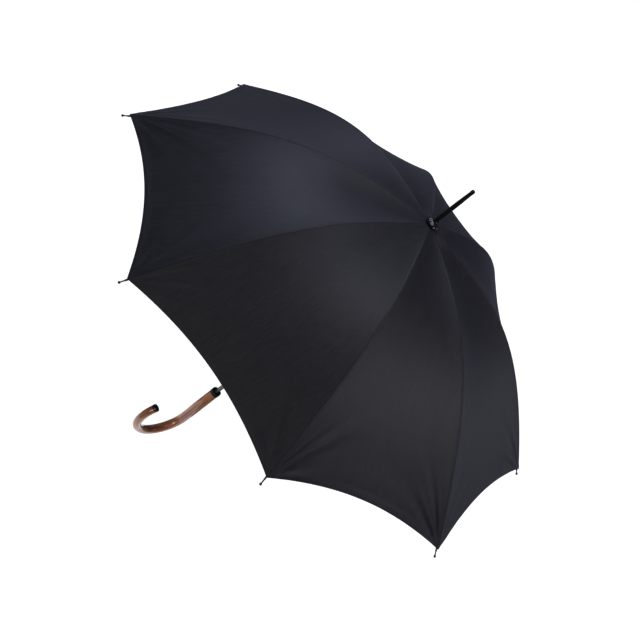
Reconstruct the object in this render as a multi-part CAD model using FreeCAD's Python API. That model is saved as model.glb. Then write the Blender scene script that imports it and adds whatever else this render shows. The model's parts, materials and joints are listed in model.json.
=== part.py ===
"""Stick umbrella with eight ribs, shown open: steel shaft, wooden crook, sliding runner and cloth canopy.

The shaft lies on +Z with the ferrule at the top. The origin is on its axis, level with the crook's foot.
Each rib is drawn in the X-Z plane, pointing along +X, and then turned about Z to its own place.
"""
import FreeCAD, Part
import math
import os

from FreeCAD import Vector

os.makedirs("parts", exist_ok=True)

# ---- driving dimensions, in millimetres and degrees ----
RIB_COUNT = 8
CORNER_RADIUS = 490.0        # shaft axis to a sewn corner of the canopy, open
RIM_DROP = 245.5             # crown hinges down to the canopy's corners
CROWN_SLOPE = 7.6            # below level, where a rib leaves the crown
RIM_SLOPE = 44.3             # below level, where a rib ends
CROWN_PULL = 197.0           # how far each end's slope reaches along the rib's curve
RIM_PULL = 301.0
PANEL_SAG = 9.0              # middle of a stretched panel below the straight line between its ribs
SCALLOP = 0.031              # share of the panel's length that the hem is hollowed by
FABRIC_THICKNESS = 0.8
CLOSED_TIP_RADIUS = 40.0     # rib ends, out from the shaft, when the umbrella is closed but not rolled

SHAFT_RADIUS = 4.0
SHAFT_WALL = 0.7
SHAFT_EXPOSED = 583.0        # handle collar up to the crown hinges

HANDLE_RADIUS = 9.5
HANDLE_STRAIGHT = 93.0
CROOK_RADIUS = 55.0          # centreline of the bend
CROOK_SWEEP = 205.0
CROOK_END = 5.0
HANDLE_BORE_DEPTH = 45.0
HANDLE_PIN_RADIUS = 1.0
HANDLE_PIN_DEPTH = 20.0      # pin below the handle's top
COLLAR_OVERHANG = 0.4        # collar, out past the handle's wood
COLLAR_HEIGHT = 8.0
COLLAR_RECESS = 3.0
COLLAR_WALL = 1.0
END_CAP_OVERHANG = 0.2
END_CAP_LENGTH = 8.0
END_CAP_SPIGOT_RADIUS = 3.0
END_CAP_SPIGOT_LENGTH = 8.0

RIB_WIDTH = 3.2
RIB_HEIGHT = 2.8
RIB_WALL = 0.6
RIB_TONGUE = 8.0             # thin root of the rib, from its hinge
RIB_END_RADIUS = 1.1         # round end that the tip is pressed on
RIB_END_LENGTH = 9.0
HINGE_CIRCLE_OFFSET = 6.0    # crown hinges and runner pivots, out from the shaft's surface
EYE_RADIUS = 1.8
EYE_HOLE_RADIUS = 0.7
TONGUE_THICKNESS = 1.6
CROWN_WIRE_RADIUS = 0.6

RIB_PIVOT_DISTANCE = 225.0   # crown hinge to the rivet under its rib
STRETCHER_LENGTH = 250.0
STRETCHER_WIDTH = 3.0
STRETCHER_HEIGHT = 2.6
STRETCHER_TONGUE = 20.0
FORK_LENGTH = 10.0
FORK_CHEEK = 0.8
RIVET_RADIUS = 0.8
RIVET_HEAD_RADIUS = 1.5
RIVET_HEAD_HEIGHT = 0.5
PIVOT_BLOCK = 4.0            # solid stretch of rib each side of its rivet

TIP_SLEEVE_WALL = 0.58
TIP_SLEEVE_LENGTH = 10.0
TIP_WIRE_RADIUS = 1.2
TIP_REACH = 13.0             # ball's centre beyond the canopy's corner
TIP_BALL_RADIUS = 2.4

HUB_RIM = 1.2                # hub's edge, out past its hinges
HUB_BOTTOM = 5.0             # below the crown hinges
WASHER_THICKNESS = 0.6
CAP_OVERHANG = 1.6           # cap's brim, out past the hub
CAP_HEIGHT = 11.0
CAP_WALL = 1.0
CAP_NECK_WALL = 1.4
CAP_BRIM = 0.22              # brim's share of the cap's height
CAP_SHOULDERS = [(0.86, 0.42), (0.62, 0.58)]  # above the brim: shares of the cap's radius and height
CAP_NECK = 0.72              # where the neck begins, as a share of the cap's height
CAP_HOLLOW = 0.3             # depth of the hollow under the cap, as a share of its height
FERRULE_SHOULDER = 0.2       # ferrule rod, out past the shaft's surface
FERRULE_TIP_HEIGHT = 104.5   # end of the ferrule's tip above the crown hinges
FERRULE_TAPER = 30.0
FERRULE_END_STEP = 0.8       # ferrule's tapered end, in from the rod's surface
FERRULE_TIP_STEP = 0.5
FERRULE_TIP_LENGTH = 6.0
FERRULE_SPIGOT_LENGTH = 18.0
SHAFT_ABOVE_CROWN = 9.0

RUNNER_WALL = 4.1
RUNNER_LENGTH = 54.0
RUNNER_FLANGE_RIM = 3.0      # flange's edge, out past its pivots
RUNNER_FLANGE_HEIGHT = 7.0
RUNNER_LIP = 3.0             # ring at the runner's foot that the catches hold
KEYWAY_DEPTH = 2.7           # groove inside the runner that the catches run in, from the shaft's surface
CATCH_NOSE = 2.2             # a catch's nose, out from the shaft's surface
CATCH_NOSE_HEIGHT = 7.0
CATCH_LENGTH = 24.0
CATCH_THICKNESS = 1.5
CATCH_DEPTH = 3.5            # radial depth of a catch's plate inside the shaft
STOP_PIN_RADIUS = 0.8
STOP_PIN_STICK_OUT = 2.2

STRAP_WIDTH = 18.0
STRAP_THICKNESS = 1.0
STRAP_START = 0.62           # share of the rib's curve where the strap is sewn on
STRAP_END = 0.93
STRAP_OFFSET = 14.0          # strap's near edge, out from its rib
STRAP_GORE = 7
SNAP_PLACE = 0.08            # share of the strap's length from each end to its half of the snap
SNAP_RADIUS = 5.0
SNAP_HEIGHT = 1.4
SNAP_POST_RADIUS = 2.0

# ---- clearances ----
RUNNING_GAP = 0.08           # runner on shaft, stretcher on rivet
SEAT_GAP = 0.02              # parts pushed or glued together
SIDE_GAP = 0.3               # each side of a tongue in its slot, or a rib in its fork
PART_GAP = 0.3               # between neighbours that move past each other
RIB_TO_FABRIC = 1.6
PANEL_GAP = 0.3              # between neighbouring gores
OVERCUT = 1.0                # how far a cutting tool runs past the face that it cuts

# ---- derived dimensions ----
STEP_ANGLE = 360.0 / RIB_COUNT
HALF_CHORD = 0.5 * math.sin(math.radians(STEP_ANGLE))
CHORD_DROP = 0.5 * (1.0 - math.cos(math.radians(STEP_ANGLE)))
HANDLE_TOP = HANDLE_RADIUS + CROOK_RADIUS + HANDLE_STRAIGHT
COLLAR_TOP = HANDLE_TOP + COLLAR_HEIGHT
CROWN_Z = COLLAR_TOP + SHAFT_EXPOSED
FABRIC_LIFT = RIB_HEIGHT / 2 + RIB_TO_FABRIC + FABRIC_THICKNESS
CAP_FOOT = FABRIC_LIFT + PART_GAP               # above the crown hinges
HUB_TOP = CAP_FOOT - SEAT_GAP - WASHER_THICKNESS
SLOT_WIDTH = TONGUE_THICKNESS + 2 * SIDE_GAP
SHAFT_BORE = SHAFT_RADIUS - SHAFT_WALL
RUNNER_BORE = SHAFT_RADIUS + RUNNING_GAP
COLLAR_RADIUS = HANDLE_RADIUS + COLLAR_OVERHANG
END_CAP_RADIUS = HANDLE_RADIUS + END_CAP_OVERHANG
HINGE_CIRCLE_RADIUS = SHAFT_RADIUS + HINGE_CIRCLE_OFFSET
HUB_RADIUS = HINGE_CIRCLE_RADIUS + HUB_RIM
CAP_RADIUS = HUB_RADIUS + CAP_OVERHANG
FERRULE_RADIUS = SHAFT_RADIUS + FERRULE_SHOULDER
CAP_NECK_RADIUS = FERRULE_RADIUS + CAP_NECK_WALL
FERRULE_END_RADIUS = FERRULE_RADIUS - FERRULE_END_STEP
FERRULE_TIP_RADIUS = FERRULE_RADIUS - FERRULE_TIP_STEP
FERRULE_FOOT = CAP_FOOT + CAP_HEIGHT + SEAT_GAP  # shoulder that holds the cap down
RUNNER_RADIUS = SHAFT_RADIUS + RUNNER_WALL
RUNNER_FLANGE_RADIUS = HINGE_CIRCLE_RADIUS + RUNNER_FLANGE_RIM
KEYWAY_RADIUS = SHAFT_RADIUS + KEYWAY_DEPTH
CATCH_REACH = SHAFT_RADIUS + CATCH_NOSE
STOP_PIN_REACH = SHAFT_RADIUS + STOP_PIN_STICK_OUT
TIP_SLEEVE_RADIUS = RIB_END_RADIUS + SEAT_GAP + TIP_SLEEVE_WALL


def direction(slope):
    """Unit vector in the X-Z plane, pointing outwards and down by slope degrees."""
    angle = math.radians(slope)
    return Vector(math.cos(angle), 0, -math.sin(angle))


# The rib's centreline is a cubic curve that leaves the crown hinge at CROWN_SLOPE and ends at RIM_SLOPE,
# FABRIC_LIFT under the canopy's corner.
RIB_START = Vector(HINGE_CIRCLE_RADIUS, 0, 0)
RIM_NORMAL = Vector(math.sin(math.radians(RIM_SLOPE)), 0, math.cos(math.radians(RIM_SLOPE)))
RIB_STOP = Vector(CORNER_RADIUS, 0, -RIM_DROP) - RIM_NORMAL * FABRIC_LIFT
RIB_POLES = [
    RIB_START,
    RIB_START + direction(CROWN_SLOPE) * CROWN_PULL,
    RIB_STOP - direction(RIM_SLOPE) * RIM_PULL,
    RIB_STOP,
]


def rib_point(u, lift=0.0):
    """Point at share u of the rib's curve, lift above it, with the crown hinges at Z = 0."""
    a, b, c, d = RIB_POLES
    v = 1.0 - u
    place = a * v**3 + b * (3 * v * v * u) + c * (3 * v * u * u) + d * u**3
    along = (b - a) * (v * v) + (c - b) * (2 * v * u) + (d - c) * (u * u)
    along.normalize()
    return place + Vector(-along.z, 0, along.x) * lift


def share_where(measure, target):
    """Share u of the rib's curve at which a rising measure(u) reaches target."""
    low, high = 0.0, 1.0
    for _ in range(50):
        middle = (low + high) / 2
        if measure(middle) < target:
            low = middle
        else:
            high = middle
    return (low + high) / 2


def share_at_distance(distance):
    """Share u of the rib's curve at a straight distance from the crown hinge."""
    return share_where(lambda u: (rib_point(u) - RIB_START).Length, distance)


def share_before_end(length):
    """Share u of the rib's curve at a straight distance before its end."""
    return share_where(lambda u: -(RIB_STOP - rib_point(u)).Length, -length)


PIVOT = rib_point(share_at_distance(RIB_PIVOT_DISTANCE))
PIVOT_REACH = PIVOT.x - HINGE_CIRCLE_RADIUS
RUNNER_PIVOT_DROP = math.sqrt(STRETCHER_LENGTH**2 - PIVOT_REACH**2) - PIVOT.z
RUNNER_PIVOT_Z = CROWN_Z - RUNNER_PIVOT_DROP
RIB_REACH = RIB_STOP - RIB_START
OPEN_CHORD_ANGLE = math.degrees(math.atan2(-RIB_REACH.z, RIB_REACH.x))
CLOSED_CHORD_ANGLE = math.degrees(
    math.acos((CLOSED_TIP_RADIUS - HINGE_CIRCLE_RADIUS) / RIB_REACH.Length)
)
FOLD_ANGLE = CLOSED_CHORD_ANGLE - OPEN_CHORD_ANGLE
CLOSED_PIVOT_ANGLE = math.radians(FOLD_ANGLE) + math.atan2(-PIVOT.z, PIVOT_REACH)
CLOSED_PIVOT_REACH = RIB_PIVOT_DISTANCE * math.cos(CLOSED_PIVOT_ANGLE)
STRETCHER_OPEN_ANGLE = math.degrees(math.acos(PIVOT_REACH / STRETCHER_LENGTH))
STRETCHER_CLOSED_ANGLE = math.degrees(math.acos(CLOSED_PIVOT_REACH / STRETCHER_LENGTH))
STRETCHER_FOLD = FOLD_ANGLE + STRETCHER_CLOSED_ANGLE - STRETCHER_OPEN_ANGLE
RUNNER_TRAVEL = (
    RIB_PIVOT_DISTANCE * math.sin(CLOSED_PIVOT_ANGLE)
    + math.sqrt(STRETCHER_LENGTH**2 - CLOSED_PIVOT_REACH**2)
    - RUNNER_PIVOT_DROP
)
RUNNER_TOP = RUNNER_PIVOT_Z + RUNNER_FLANGE_HEIGHT / 2
RUNNER_FOOT = RUNNER_TOP - RUNNER_LENGTH
TOP_CATCH_Z = RUNNER_FOOT - PART_GAP
BOTTOM_CATCH_Z = RUNNER_FOOT - RUNNER_TRAVEL + RUNNER_LIP + PART_GAP
GORE_INNER_RADIUS = (HUB_RADIUS + PART_GAP) / math.cos(math.radians(STEP_ANGLE / 2))
GORE_START = share_where(lambda u: rib_point(u, FABRIC_LIFT).x, GORE_INNER_RADIUS)


# ---- building blocks ----
def rod(radius, low, high, x=0.0, y=0.0):
    """Upright cylinder between two heights."""
    return Part.makeCylinder(radius, high - low, Vector(x, y, low))


def cross_rod(radius, reach, x, z):
    """Cylinder along Y, reach to each side of the X-Z plane."""
    return Part.makeCylinder(radius, 2 * reach, Vector(x, -reach, z), Vector(0, 1, 0))


def ring(inner, outer, low, high):
    """Upright tube between two heights."""
    return rod(outer, low, high).cut(rod(inner, low - OVERCUT, high + OVERCUT))


def turned(outline):
    """Solid of revolution about Z from a closed outline of (radius, height) points."""
    corners = [Vector(r, 0, z) for r, z in outline]
    face = Part.Face(Part.makePolygon(corners + corners[:1]))
    return face.revolve(Vector(0, 0, 0), Vector(0, 0, 1), 360)


def plate(outline, width):
    """Plate of an X-Z outline, half of its width each side of the plane Y = 0."""
    corners = [Vector(x, -width / 2, z) for x, z in outline]
    face = Part.Face(Part.makePolygon(corners + corners[:1]))
    return face.extrude(Vector(0, width, 0))


def bar_along_rib(first, last, low, high, width):
    """Bar that follows the rib's curve between two shares, from low to high above its centreline."""
    steps = 10
    shares = [first + (last - first) * k / steps for k in range(steps + 1)]
    edges = []
    for lift in (low, high):
        curve = Part.BSplineCurve()
        curve.interpolate([rib_point(u, lift) - Vector(0, width / 2, 0) for u in shares])
        edges.append(curve.toShape())
    ends = [
        Part.LineSegment(edges[0].Vertexes[k].Point, edges[1].Vertexes[k].Point).toShape()
        for k in (0, 1)
    ]
    face = Part.Face(Part.Wire([edges[0], ends[1], edges[1], ends[0]]))
    return face.extrude(Vector(0, width, 0))


def straight_bar(start, along, first, last, height, width):
    """Straight bar in the X-Z plane from first to last along a line through start."""
    across = Vector(-along.z, 0, along.x)
    corners = [
        start + along * s + across * t
        for s, t in ((first, -height / 2), (last, -height / 2), (last, height / 2), (first, height / 2))
    ]
    return plate([(c.x, c.z) for c in corners], width)


def at_crown(shape):
    """Moves a shape that was drawn with the crown hinges at Z = 0 up to their real height."""
    return shape.translated(Vector(0, 0, CROWN_Z))


def to_rib(shape, number):
    """Turns a shape from the first rib's place to the place of rib number."""
    return shape.rotated(Vector(0, 0, 0), Vector(0, 0, 1), STEP_ANGLE * (number - 1))


def save(name, shape):
    """Writes one sub-part."""
    if not shape.isValid() or shape.Volume <= 0:
        raise ValueError(name + " is not a sound solid")
    shape.exportStep("parts/" + name + ".step")


# ---- ribs, their tips and rivets ----
def make_rib():
    """Channel rib with an eyed root, a solid stretch at its pivot and a round outer end."""
    tongue_end = share_at_distance(RIB_TONGUE)
    overlap = share_at_distance(RIB_TONGUE + RIB_HEIGHT)
    end_start = share_before_end(RIB_END_LENGTH)
    half = RIB_HEIGHT / 2
    body = bar_along_rib(tongue_end, end_start, -half, half, RIB_WIDTH)
    tongue = bar_along_rib(0.0, overlap, -half, half, TONGUE_THICKNESS)
    eye = cross_rod(EYE_RADIUS, TONGUE_THICKNESS / 2, RIB_START.x, 0)
    end_from = rib_point(share_before_end(RIB_END_LENGTH + RIB_HEIGHT))
    round_end = Part.makeCylinder(
        RIB_END_RADIUS, (RIB_STOP - end_from).Length, end_from, RIB_STOP - end_from
    )
    rib = body.fuse([tongue, eye, round_end])
    groove_width = RIB_WIDTH - 2 * RIB_WALL
    inner_groove = (RIB_TONGUE + 2 * PIVOT_BLOCK, RIB_PIVOT_DISTANCE - PIVOT_BLOCK)
    outer_groove_end = share_before_end(RIB_END_LENGTH + 2 * PIVOT_BLOCK)
    for near, far in (
        (share_at_distance(inner_groove[0]), share_at_distance(inner_groove[1])),
        (share_at_distance(RIB_PIVOT_DISTANCE + PIVOT_BLOCK), outer_groove_end),
    ):
        rib = rib.cut(bar_along_rib(near, far, -half - OVERCUT, half - RIB_WALL, groove_width))
    rib = rib.cut(cross_rod(EYE_HOLE_RADIUS, RIB_WIDTH, RIB_START.x, 0))
    rib = rib.cut(cross_rod(RIVET_RADIUS, RIB_WIDTH, PIVOT.x, PIVOT.z))
    return at_crown(rib.removeSplitter())


def make_rib_tip():
    """Sleeve, wire and ball at the end of a rib, in line with the rib's end."""
    along = direction(RIM_SLOPE)
    start = RIB_STOP - along * (RIB_END_LENGTH - OVERCUT)
    ball_at = RIB_STOP + along * TIP_REACH
    sleeve = Part.makeCylinder(TIP_SLEEVE_RADIUS, TIP_SLEEVE_LENGTH + 2, start, along)
    wire = Part.makeCylinder(TIP_WIRE_RADIUS, (ball_at - RIB_STOP).Length, RIB_STOP, along)
    ball = Part.makeSphere(TIP_BALL_RADIUS, ball_at)
    bore_back = rib_point(share_before_end(RIB_END_LENGTH + RIB_HEIGHT))
    bore_line = RIB_STOP - bore_back
    bore = Part.makeCylinder(RIB_END_RADIUS + SEAT_GAP, bore_line.Length + SEAT_GAP, bore_back, bore_line)
    return at_crown(sleeve.fuse([wire, ball]).cut(bore))


def make_rivet():
    """Rivet that joins a rib to its stretcher, with a head outside each cheek of the fork."""
    reach = RIB_WIDTH / 2 + SIDE_GAP + FORK_CHEEK + SIDE_GAP / 2
    pin = cross_rod(RIVET_RADIUS, reach, PIVOT.x, PIVOT.z)
    heads = [
        Part.makeCylinder(
            RIVET_HEAD_RADIUS, RIVET_HEAD_HEIGHT, Vector(PIVOT.x, side * reach, PIVOT.z), Vector(0, side, 0)
        )
        for side in (-1, 1)
    ]
    return at_crown(pin.fuse(heads))


# ---- stretchers ----
def make_stretcher():
    """Strut from the rib's rivet to the runner, forked round the rib and eyed at the runner."""
    runner_end = Vector(HINGE_CIRCLE_RADIUS, 0, -RUNNER_PIVOT_DROP)
    along = runner_end - PIVOT
    length = along.Length
    along.normalize()
    fork_width = RIB_WIDTH + 2 * SIDE_GAP + 2 * FORK_CHEEK
    fork = straight_bar(PIVOT, along, 0, FORK_LENGTH + FORK_CHEEK * 2, STRETCHER_HEIGHT, fork_width)
    round_end = cross_rod(STRETCHER_HEIGHT / 2, fork_width / 2, PIVOT.x, PIVOT.z)
    fork_gap = fork_width - 2 * FORK_CHEEK
    gap = straight_bar(PIVOT, along, -RIB_HEIGHT, FORK_LENGTH, STRETCHER_HEIGHT * 2, fork_gap)
    tongue_from = length - STRETCHER_TONGUE
    body = straight_bar(PIVOT, along, FORK_LENGTH, tongue_from, STRETCHER_HEIGHT, STRETCHER_WIDTH)
    tongue = straight_bar(PIVOT, along, tongue_from - 2, length, STRETCHER_HEIGHT, TONGUE_THICKNESS)
    eye = cross_rod(EYE_RADIUS, TONGUE_THICKNESS / 2, runner_end.x, runner_end.z)
    strut = fork.fuse(round_end).cut(gap).fuse([body, tongue, eye])
    across = Vector(-along.z, 0, along.x)
    groove_floor = PIVOT + across * (RIB_WALL + STRETCHER_HEIGHT / 2)
    groove = straight_bar(
        groove_floor,
        along,
        FORK_LENGTH + PIVOT_BLOCK,
        tongue_from - PIVOT_BLOCK,
        STRETCHER_HEIGHT,
        STRETCHER_WIDTH - 2 * RIB_WALL,
    )
    strut = strut.cut(groove)
    strut = strut.cut(cross_rod(EYE_HOLE_RADIUS, STRETCHER_WIDTH, runner_end.x, runner_end.z))
    strut = strut.cut(cross_rod(RIVET_RADIUS + RUNNING_GAP, fork_width, PIVOT.x, PIVOT.z))
    return at_crown(strut.removeSplitter())


# ---- canopy ----
def panel_point(u, w, side):
    """Point of the canopy: u runs from crown to hem, w from the rib (0) to the panel's middle (1)."""
    swell = 1.0 - (1.0 - w) ** 2
    share = GORE_START + (1.0 - GORE_START) * u * (1.0 - SCALLOP * swell)
    ridge = rib_point(share, FABRIC_LIFT)
    sag = PANEL_SAG * 4 * u * (1.0 - u) * swell
    across = (HALF_CHORD * ridge.x - PANEL_GAP / 2) * w
    return Vector(ridge.x * (1.0 - CHORD_DROP * w), side * across, ridge.z - sag)


def smooth_face(rows):
    """Smooth face through a grid of points."""
    surface = Part.BSplineSurface()
    surface.interpolate(rows)
    return surface.toShape()


def make_gore():
    """Half a panel each side of one rib, as a thin solid with a crease along the rib."""
    along, over = 12, 6
    halves = []
    for side in (-1, 1):
        grid = [[panel_point(i / along, j / over, side) for j in range(over + 1)] for i in range(along + 1)]
        halves.append(smooth_face(grid).extrude(Vector(0, 0, -FABRIC_THICKNESS)))
    return at_crown(halves[0].fuse(halves[1]))


# ---- closing strap with its snap fastener ----
def strap_point(s, t):
    """Point on the canopy's outer face under the strap: s along it, t across it."""
    u = STRAP_START + (STRAP_END - STRAP_START) * s
    reach = HALF_CHORD * rib_point(GORE_START + (1 - GORE_START) * u, FABRIC_LIFT).x
    return panel_point(u, (STRAP_OFFSET + STRAP_WIDTH * t) / reach, 1)


def snap_place(s):
    """Foot of a snap's post and the strap's outward normal there."""
    middle = strap_point(s, 0.5)
    along = strap_point(s + 0.01, 0.5) - strap_point(s - 0.01, 0.5)
    across = strap_point(s, 0.6) - strap_point(s, 0.4)
    normal = along.cross(across)
    normal.normalize()
    if normal.z < 0:
        normal = normal * -1
    return middle + Vector(0, 0, PART_GAP), normal


def make_strap():
    """Flat band that lies on the canopy beside one rib, with a hole for each half of the snap."""
    along, over = 8, 3
    grid = [
        [strap_point(i / along, j / over) + Vector(0, 0, PART_GAP) for j in range(over + 1)]
        for i in range(along + 1)
    ]
    band = smooth_face(grid).extrude(Vector(0, 0, STRAP_THICKNESS))
    for s in (SNAP_PLACE, 1 - SNAP_PLACE):
        foot, normal = snap_place(s)
        band = band.cut(Part.makeCylinder(SNAP_POST_RADIUS + SEAT_GAP, 8, foot - normal * 4, normal))
    return at_crown(band)


def make_snap(s, hollow):
    """One half of the snap: a post through the strap and a round head, domed or dished."""
    foot, normal = snap_place(s)
    post_length = STRAP_THICKNESS + SNAP_HEIGHT
    post = Part.makeCylinder(SNAP_POST_RADIUS, post_length, foot + normal * SEAT_GAP, normal)
    head_at = foot + normal * (STRAP_THICKNESS + PART_GAP)
    head = Part.makeCylinder(SNAP_RADIUS, SNAP_HEIGHT, head_at, normal)
    if hollow:
        dish = Part.makeCylinder(SNAP_RADIUS / 2, SNAP_HEIGHT, head_at + normal * (SNAP_HEIGHT / 2), normal)
        return at_crown(head.fuse(post).cut(dish))
    stud = Part.makeCylinder(SNAP_RADIUS / 2 - PART_GAP, SNAP_HEIGHT * 2, head_at, normal)
    return at_crown(head.fuse([post, stud]))


# ---- crown: hub, hinge wire, washer, cap and ferrule ----
def radial_slots(inner, low, high, outer):
    """One upright slot per rib, from an inner radius outwards."""
    slot = Part.makeBox(outer - inner, SLOT_WIDTH, high - low, Vector(inner, -SLOT_WIDTH / 2, low))
    return [to_rib(slot, number) for number in range(1, RIB_COUNT + 1)]


def make_crown_hub():
    """Slotted wheel that the ribs hang in, with a groove for the hinge wire."""
    hub = ring(SHAFT_RADIUS + SEAT_GAP, HUB_RADIUS, -HUB_BOTTOM, HUB_TOP)
    slot_floor = HINGE_CIRCLE_RADIUS - EYE_RADIUS - 2 * SIDE_GAP
    hub = hub.cut(radial_slots(slot_floor, -HUB_BOTTOM - OVERCUT, HUB_TOP + OVERCUT, HUB_RADIUS + OVERCUT))
    half_groove = CROWN_WIRE_RADIUS + SIDE_GAP / 2
    groove = ring(HINGE_CIRCLE_RADIUS - half_groove, HUB_RADIUS + OVERCUT, -half_groove, half_groove)
    return at_crown(hub.cut(groove))


def make_crown_wire():
    """Ring of wire through the eyes of the ribs."""
    return at_crown(Part.makeTorus(HINGE_CIRCLE_RADIUS, CROWN_WIRE_RADIUS))


def make_crown_washer():
    """Round of cloth between the hub and the cap."""
    washer = ring(SHAFT_RADIUS + SEAT_GAP, HUB_RADIUS - PART_GAP, HUB_TOP, HUB_TOP + WASHER_THICKNESS)
    return at_crown(washer)


def make_crown_cap():
    """Turned cap over the middle of the canopy, with a neck round the ferrule."""
    foot = CAP_FOOT
    top = foot + CAP_HEIGHT
    brim = foot + CAP_HEIGHT * CAP_BRIM
    bore = SHAFT_RADIUS + SEAT_GAP
    outline = [
        (bore, foot),
        (CAP_NECK_RADIUS + CAP_WALL, foot),
        (CAP_NECK_RADIUS + CAP_WALL, foot + CAP_HEIGHT * CAP_HOLLOW),
        (CAP_RADIUS - 2 * CAP_WALL, foot + PART_GAP),
        (CAP_RADIUS - CAP_WALL, foot),
        (CAP_RADIUS, foot + PART_GAP),
        (CAP_RADIUS, brim),
        *[(CAP_RADIUS * out, foot + CAP_HEIGHT * up) for out, up in CAP_SHOULDERS],
        (CAP_NECK_RADIUS, foot + CAP_HEIGHT * CAP_NECK),
        (CAP_NECK_RADIUS, top - CAP_WALL / 2),
        (CAP_NECK_RADIUS - CAP_WALL / 2, top),
        (bore, top),
    ]
    return at_crown(turned(outline))


def make_ferrule():
    """Round rod above the crown, slightly tapered, plugged into the top of the shaft."""
    end = FERRULE_TIP_HEIGHT - FERRULE_TIP_LENGTH
    spigot = SHAFT_BORE - SEAT_GAP
    outline = [
        (0, SHAFT_ABOVE_CROWN - FERRULE_SPIGOT_LENGTH),
        (spigot, SHAFT_ABOVE_CROWN - FERRULE_SPIGOT_LENGTH),
        (spigot, SHAFT_ABOVE_CROWN),
        (SHAFT_RADIUS, SHAFT_ABOVE_CROWN),
        (SHAFT_RADIUS, FERRULE_FOOT),
        (FERRULE_RADIUS, FERRULE_FOOT),
        (FERRULE_RADIUS, end - FERRULE_TAPER),
        (FERRULE_END_RADIUS, end),
        (0, end),
    ]
    socket = rod(FERRULE_END_RADIUS / 2 + SEAT_GAP, end - FERRULE_TIP_LENGTH - SEAT_GAP, end + OVERCUT)
    return at_crown(turned(outline).cut(socket))


def make_ferrule_tip():
    """Small rounded cap on the ferrule's end."""
    end = FERRULE_TIP_HEIGHT - FERRULE_TIP_LENGTH
    rounding = FERRULE_TIP_RADIUS * 0.4
    cap = rod(FERRULE_TIP_RADIUS, end, FERRULE_TIP_HEIGHT)
    cap = cap.makeFillet(rounding, [e for e in cap.Edges if e.BoundBox.ZMin > end + 1 and e.Closed])
    return at_crown(cap.fuse(rod(FERRULE_END_RADIUS / 2, end - FERRULE_TIP_LENGTH, end + OVERCUT)))


# ---- shaft, runner, catches and stop ----
def make_shaft():
    """Steel tube with a slot for each catch and holes for the stop pin and the handle's pin."""
    low, high = HANDLE_TOP - HANDLE_BORE_DEPTH, CROWN_Z + SHAFT_ABOVE_CROWN
    shaft = ring(SHAFT_BORE, SHAFT_RADIUS, low, high)
    slot_width = CATCH_THICKNESS + 2 * SIDE_GAP
    slot_length = CATCH_LENGTH + 2 * PART_GAP
    for foot in (TOP_CATCH_Z - CATCH_LENGTH, BOTTOM_CATCH_Z):
        corner = Vector(0, -slot_width / 2, foot - PART_GAP)
        shaft = shaft.cut(Part.makeBox(2 * SHAFT_RADIUS, slot_width, slot_length, corner))
    shaft = shaft.cut(cross_rod(STOP_PIN_RADIUS, SHAFT_RADIUS * 2, 0, stop_pin_height()))
    return shaft.cut(cross_rod(HANDLE_PIN_RADIUS, SHAFT_RADIUS * 2, 0, HANDLE_TOP - HANDLE_PIN_DEPTH))


def stop_pin_height():
    """Height of the pin that stops the runner from rising past its open place."""
    return RUNNER_TOP + PART_GAP + STOP_PIN_RADIUS


def make_stop_pin():
    """Cross pin above the open runner."""
    return cross_rod(STOP_PIN_RADIUS, STOP_PIN_REACH, 0, stop_pin_height())


def make_catch(flat_side_up):
    """Sprung plate whose nose has a square face and a sloping one, which the runner rides over."""
    body_face = SHAFT_BORE - PART_GAP
    back = body_face - CATCH_DEPTH
    outline = [
        (back, 0),
        (CATCH_REACH, 0),
        (body_face, -CATCH_NOSE_HEIGHT),
        (body_face, -CATCH_LENGTH),
        (back, -CATCH_LENGTH),
    ]
    catch = plate(outline, CATCH_THICKNESS)
    if flat_side_up:
        return catch.translated(Vector(0, 0, TOP_CATCH_Z))
    flipped = catch.rotated(Vector(0, 0, 0), Vector(1, 0, 0), 180)
    return flipped.translated(Vector(0, 0, BOTTOM_CATCH_Z))


def make_runner():
    """Sleeve that slides on the shaft, with a slotted flange and a keyway that the catches run in."""
    runner = rod(RUNNER_RADIUS, RUNNER_FOOT, RUNNER_TOP)
    flange = rod(RUNNER_FLANGE_RADIUS, RUNNER_TOP - RUNNER_FLANGE_HEIGHT, RUNNER_TOP)
    slots = radial_slots(
        RUNNER_RADIUS,
        RUNNER_TOP - RUNNER_FLANGE_HEIGHT - OVERCUT,
        RUNNER_TOP + OVERCUT,
        RUNNER_FLANGE_RADIUS + OVERCUT,
    )
    flange = flange.cut(slots)
    runner = runner.fuse(flange).cut(rod(RUNNER_BORE, RUNNER_FOOT - OVERCUT, RUNNER_TOP + OVERCUT))
    width = CATCH_THICKNESS + 2 * SIDE_GAP
    keyway = Part.makeBox(
        KEYWAY_RADIUS, width, RUNNER_LENGTH, Vector(0, -width / 2, RUNNER_FOOT + RUNNER_LIP)
    )
    return runner.cut(keyway).removeSplitter()


# ---- handle ----
def crook_path():
    """Centreline of the handle: straight down the shaft's axis, round the bend and a short way back up."""
    centre_z = HANDLE_RADIUS + CROOK_RADIUS
    top = Vector(0, 0, HANDLE_TOP)
    bend_start = Vector(0, 0, centre_z)

    def on_bend(angle):
        a = math.radians(angle)
        return Vector(0, CROOK_RADIUS * (1 - math.cos(a)), centre_z - CROOK_RADIUS * math.sin(a))

    bend_end = on_bend(CROOK_SWEEP)
    a = math.radians(CROOK_SWEEP)
    heading = Vector(0, math.sin(a), -math.cos(a))
    end = bend_end + heading * CROOK_END
    edges = [
        Part.LineSegment(top, bend_start).toShape(),
        Part.Arc(bend_start, on_bend(CROOK_SWEEP / 2), bend_end).toShape(),
        Part.LineSegment(bend_end, end).toShape(),
    ]
    return Part.Wire(edges), end, heading


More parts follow.
